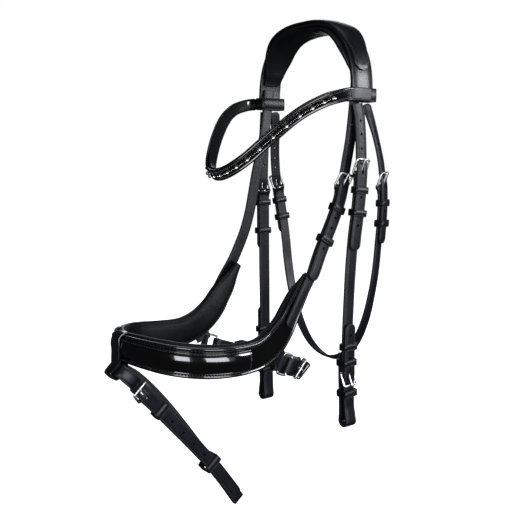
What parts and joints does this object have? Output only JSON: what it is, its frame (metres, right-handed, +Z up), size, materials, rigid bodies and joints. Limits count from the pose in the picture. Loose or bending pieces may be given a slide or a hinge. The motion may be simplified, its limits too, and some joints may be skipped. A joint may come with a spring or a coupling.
{
  "type": "snaffle bridle",
  "caption": "Leather snaffle bridle with padded headpiece, shaped beaded browband, padded crank noseband, flash strap, throatlatch and cheekpieces ending in eyes for a bit.",
  "frame": {"origin": "the seat on the poll: underside of the headpiece padding, on the middle plane", "axes": "+X forward, the way the horse faces; +Y to the horse's left, the near side; +Z up along the hanging cheekpieces"},
  "size_m": [0.3237, 0.2004, 0.5731],
  "materials": {
    "strap_leather": "satin",
    "keeper_leather": "satin",
    "patent_leather": "patent, high gloss",
    "padded_lining": "soft matt",
    "nickel": "polished nickel",
    "browband_beads": "polished"
  },
  "bodies": {
    "headpiece": {"crown_leather": "strap_leather", "crown_overlay": "strap_leather", "crown_pad": "padded_lining"},
    "browband": {"browband_leather": "patent_leather", "browband_lining": "padded_lining", "browband_chain": "browband_beads"},
    "near_cheek": {"near_cheek_billet": "strap_leather", "near_cheekpiece": "strap_leather", "near_bit_billet": "strap_leather", "near_cheek_keepers": "keeper_leather", "near_cheek_buckle": "nickel", "near_bit_buckle": "nickel"},
    "far_cheek": {"far_cheek_billet": "strap_leather", "far_cheekpiece": "strap_leather", "far_bit_billet": "strap_leather", "far_cheek_keepers": "keeper_leather", "far_cheek_buckle": "nickel", "far_bit_buckle": "nickel"},
    "throatlatch": {"near_throat_billet": "strap_leather", "far_throat_billet": "strap_leather", "throatlatch_strap": "strap_leather", "throat_keepers": "keeper_leather", "near_throat_buckle": "nickel", "far_throat_buckle": "nickel"},
    "noseband": {"nose_leather": "strap_leather", "nose_padding": "padded_lining", "nose_patent": "patent_leather", "flash_loop": "patent_leather", "near_nose_billet": "strap_leather", "near_nose_hanger": "strap_leather", "far_nose_hanger": "strap_leather", "nose_keepers": "keeper_leather", "nose_buckle": "nickel", "chin_rings": "nickel", "chin_tabs": "strap_leather"},
    "chin": {"chin_billet": "strap_leather", "chin_strap": "strap_leather", "chin_pad": "padded_lining", "chin_keepers": "keeper_leather", "chin_buckle": "nickel"},
    "flash": {"flash_strap": "strap_leather", "flash_keepers": "keeper_leather", "flash_buckle": "nickel"},
    "near_cheek_tongue": {"near_cheek_tongue": "nickel"},
    "near_bit_tongue": {"near_bit_tongue": "nickel"},
    "far_cheek_tongue": {"far_cheek_tongue": "nickel"},
    "far_bit_tongue": {"far_bit_tongue": "nickel"},
    "near_throat_tongue": {"near_throat_tongue": "nickel"},
    "far_throat_tongue": {"far_throat_tongue": "nickel"},
    "nose_tongue": {"nose_tongue": "nickel"},
    "chin_tongue": {"chin_tongue": "nickel"},
    "flash_tongue": {"flash_tongue": "nickel"},
    "near_cheek_runner": {"near_cheek_runner": "keeper_leather"},
    "near_bit_runner": {"near_bit_runner": "keeper_leather"},
    "far_cheek_runner": {"far_cheek_runner": "keeper_leather"},
    "far_bit_runner": {"far_bit_runner": "keeper_leather"},
    "near_throat_runner": {"near_throat_runner": "keeper_leather"},
    "far_throat_runner": {"far_throat_runner": "keeper_leather"},
    "nose_runner": {"nose_runner": "keeper_leather"},
    "flash_runner": {"flash_runner": "keeper_leather"}
  },
  "joints": [
    {"name": "browband_tilt", "type": "hinge", "parent": "headpiece", "child": "browband", "pos_m": [0, 0, -0.0765], "axis": [0, 1, 0], "range_deg": [-5, 5]},
    {"name": "near_cheek_swing", "type": "hinge", "parent": "headpiece", "child": "near_cheek", "pos_m": [0.007, 0.0825, -0.08675], "axis": [1, 0, 0], "range_deg": [0, 35]},
    {"name": "far_cheek_swing", "type": "hinge", "parent": "headpiece", "child": "far_cheek", "pos_m": [0.007, -0.0825, -0.08675], "axis": [-1, 0, 0], "range_deg": [0, 35]},
    {"name": "throatlatch_swing", "type": "hinge", "parent": "headpiece", "child": "throatlatch", "pos_m": [-0.0094, 0, -0.0912], "axis": [0, 1, 0], "range_deg": [-2, 25]},
    {"name": "noseband_swing", "type": "hinge", "parent": "headpiece", "child": "noseband", "pos_m": [0.005, 0, -0.062], "axis": [0, 1, 0], "range_deg": [-5, 4]},
    {"name": "chin_swing", "type": "hinge", "parent": "noseband", "child": "chin", "pos_m": [0.098, 0.0025, -0.37825], "axis": [-0.0294, 0.9994, 0.0184], "range_deg": [-6, 6]},
    {"name": "flash_swing", "type": "hinge", "parent": "noseband", "child": "flash", "pos_m": [0.272, 0, -0.3667], "axis": [0, 1, 0], "range_deg": [-12, 7]},
    {"name": "near_cheek_tongue_lift", "type": "hinge", "parent": "near_cheek", "child": "near_cheek_tongue", "pos_m": [0.00161, 0.08207, -0.16481], "axis": [-0.999, 0.0004, -0.0445], "range_deg": [0, 10]},
    {"name": "near_bit_tongue_lift", "type": "hinge", "parent": "near_cheek", "child": "near_bit_tongue", "pos_m": [0.01561, 0.08046, -0.39484], "axis": [0.9992, -0.0005, -0.0406], "range_deg": [0, 10]},
    {"name": "far_cheek_tongue_lift", "type": "hinge", "parent": "far_cheek", "child": "far_cheek_tongue", "pos_m": [0.00962, -0.08178, -0.18861], "axis": [1, 0, -0.0062], "range_deg": [0, 10]},
    {"name": "far_bit_tongue_lift", "type": "hinge", "parent": "far_cheek", "child": "far_bit_tongue", "pos_m": [0.0075, -0.0814, -0.39977], "axis": [-0.9998, 0, 0.019], "range_deg": [0, 10]},
    {"name": "near_throat_tongue_lift", "type": "hinge", "parent": "throatlatch", "child": "near_throat_tongue", "pos_m": [-0.02568, 0.09023, -0.18026], "axis": [-0.9529, -0.3, 0.0451], "range_deg": [0, 10]},
    {"name": "far_throat_tongue_lift", "type": "hinge", "parent": "throatlatch", "child": "far_throat_tongue", "pos_m": [-0.022, -0.08941, -0.18425], "axis": [0.9845, 0.0002, -0.1756], "range_deg": [0, 10]},
    {"name": "nose_tongue_lift", "type": "hinge", "parent": "noseband", "child": "nose_tongue", "pos_m": [0.01671, 0.06748, -0.18114], "axis": [-0.9744, -0.0013, -0.2249], "range_deg": [0, 10]},
    {"name": "chin_tongue_lift", "type": "hinge", "parent": "chin", "child": "chin_tongue", "pos_m": [0.07505, 0.06338, -0.38442], "axis": [-0.5036, 0.1808, 0.8448], "range_deg": [0, 10]},
    {"name": "flash_tongue_lift", "type": "hinge", "parent": "flash", "child": "flash_tongue", "pos_m": [0.2401, 0.0024, -0.40139], "axis": [-0.7349, 0.0021, 0.6782], "range_deg": [0, 10]},
    {"name": "near_cheek_runner_slide", "type": "slide", "parent": "near_cheek", "child": "near_cheek_runner", "axis": [0.131, -0.0035, -0.9914], "range_m": [-0.006, 0.008]},
    {"name": "near_bit_runner_slide", "type": "slide", "parent": "near_cheek", "child": "near_bit_runner", "axis": [-0.004, -0.0103, -0.9999], "range_m": [-0.006, 0.004]},
    {"name": "far_cheek_runner_slide", "type": "slide", "parent": "far_cheek", "child": "far_cheek_runner", "axis": [-0.0059, 0.0019, -1], "range_m": [-0.008, 0.006]},
    {"name": "far_bit_runner_slide", "type": "slide", "parent": "far_cheek", "child": "far_bit_runner", "axis": [-0.0135, 0, -0.9999], "range_m": [-0.006, 0.004]},
    {"name": "near_throat_runner_slide", "type": "slide", "parent": "throatlatch", "child": "near_throat_runner", "axis": [0.0055, -0.0735, -0.9973], "range_m": [-0.005, 0.005]},
    {"name": "far_throat_runner_slide", "type": "slide", "parent": "throatlatch", "child": "far_throat_runner", "axis": [-0.1404, 0.0633, -0.9881], "range_m": [-0.004, 0.005]},
    {"name": "nose_runner_slide", "type": "slide", "parent": "noseband", "child": "nose_runner", "axis": [0.4898, 0.0265, -0.8714], "range_m": [-0.006, 0.006]},
    {"name": "flash_runner_slide", "type": "slide", "parent": "flash", "child": "flash_runner", "axis": [-0.6337, 0, -0.7736], "range_m": [-0.006, 0.006]}
  ]
}
